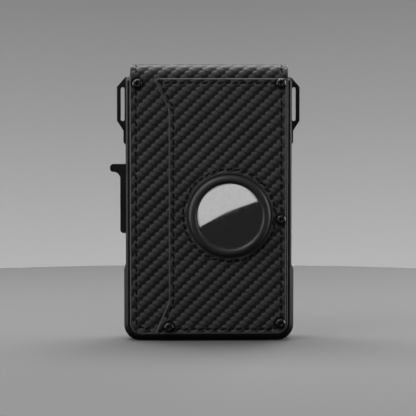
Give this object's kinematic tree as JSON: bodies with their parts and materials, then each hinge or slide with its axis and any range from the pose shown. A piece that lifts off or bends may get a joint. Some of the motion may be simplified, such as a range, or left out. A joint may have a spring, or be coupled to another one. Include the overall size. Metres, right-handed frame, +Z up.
{
  "type": "money clip wallet",
  "caption": "Bifold card wallet with a metal chassis, woven-look leather cover, thumb slider, lanyard loops, tracker ring and a spring money clip under its flap.",
  "frame": {"origin": "middle of the chassis's flat bottom edge, on which the wallet stands", "axes": "+X to the right seen from the front, -Y out of the front, +Z up towards the spine"},
  "size_m": [0.0791, 0.025, 0.1144],
  "materials": {
    "anodised_metal": "black anodised, fine bead blast",
    "black_screws": "gloss black oxide",
    "woven_leather": "embossed twill weave, satin black",
    "lining_leather": "smooth matt black",
    "ring_rubber": "satin black",
    "spring_steel": "blackened, brushed along its length",
    "magnet_metal": "nickel plated",
    "white_plastic": "gloss white",
    "circuit_board": "solder mask",
    "polished_steel": "mirror polished"
  },
  "bodies": {
    "chassis": {"chassis_body": "anodised_metal", "rear_plate": "anodised_metal", "rear_plate_screws": "black_screws", "cover_screws": "black_screws", "leather_front_panel": "woven_leather", "pocket_panel": "woven_leather", "tracker_ring": "ring_rubber", "money_clip": "spring_steel", "clip_screws": "black_screws", "card_spring": "spring_steel", "card_spring_rivets": "magnet_metal"},
    "spine": {"leather_spine": "woven_leather"},
    "flap": {"leather_back_flap": "woven_leather", "flap_lining": "lining_leather", "inner_card_pocket": "lining_leather", "flap_magnets": "magnet_metal"},
    "clip_tongue": {"money_clip_tongue": "spring_steel"},
    "slider": {"eject_slider": "anodised_metal", "card_pusher": "spring_steel", "slider_screws": "black_screws"},
    "tracker": {"tracker_shell": "white_plastic", "tracker_board": "circuit_board", "tracker_speaker": "magnet_metal", "tracker_battery": "magnet_metal"},
    "tracker_lid": {"tracker_cover": "polished_steel"}
  },
  "joints": [
    {"name": "spine_hinge", "type": "hinge", "parent": "chassis", "child": "spine", "pos_m": [0, -0.0048, 0.11275], "axis": [1, 0, 0], "range_deg": [0, 90]},
    {"name": "flap_hinge", "type": "hinge", "parent": "spine", "child": "flap", "pos_m": [0, 0.01295, 0.1128], "axis": [1, 0, 0], "range_deg": [0, 90]},
    {"name": "clip_flex", "type": "hinge", "parent": "chassis", "child": "clip_tongue", "pos_m": [0, 0.0111, 0.056], "axis": [1, 0, 0], "range_deg": [0, 6], "stiffness_Nm_per_rad": 0.5},
    {"name": "thumb_slide", "type": "slide", "parent": "chassis", "child": "slider", "axis": [0, 0, 1], "range_m": [-0.0125, 0.0085]},
    {"name": "tracker_pop_out", "type": "slide", "parent": "chassis", "child": "tracker", "axis": [0, -1, 0], "range_m": [0, 0.01], "deforming": ["tracker_ring"]},
    {"name": "tracker_lid_twist", "type": "hinge", "parent": "tracker", "child": "tracker_lid", "pos_m": [0.0084, -0.008, 0.0519], "axis": [0, -1, 0], "range_deg": [0, 20]}
  ]
}
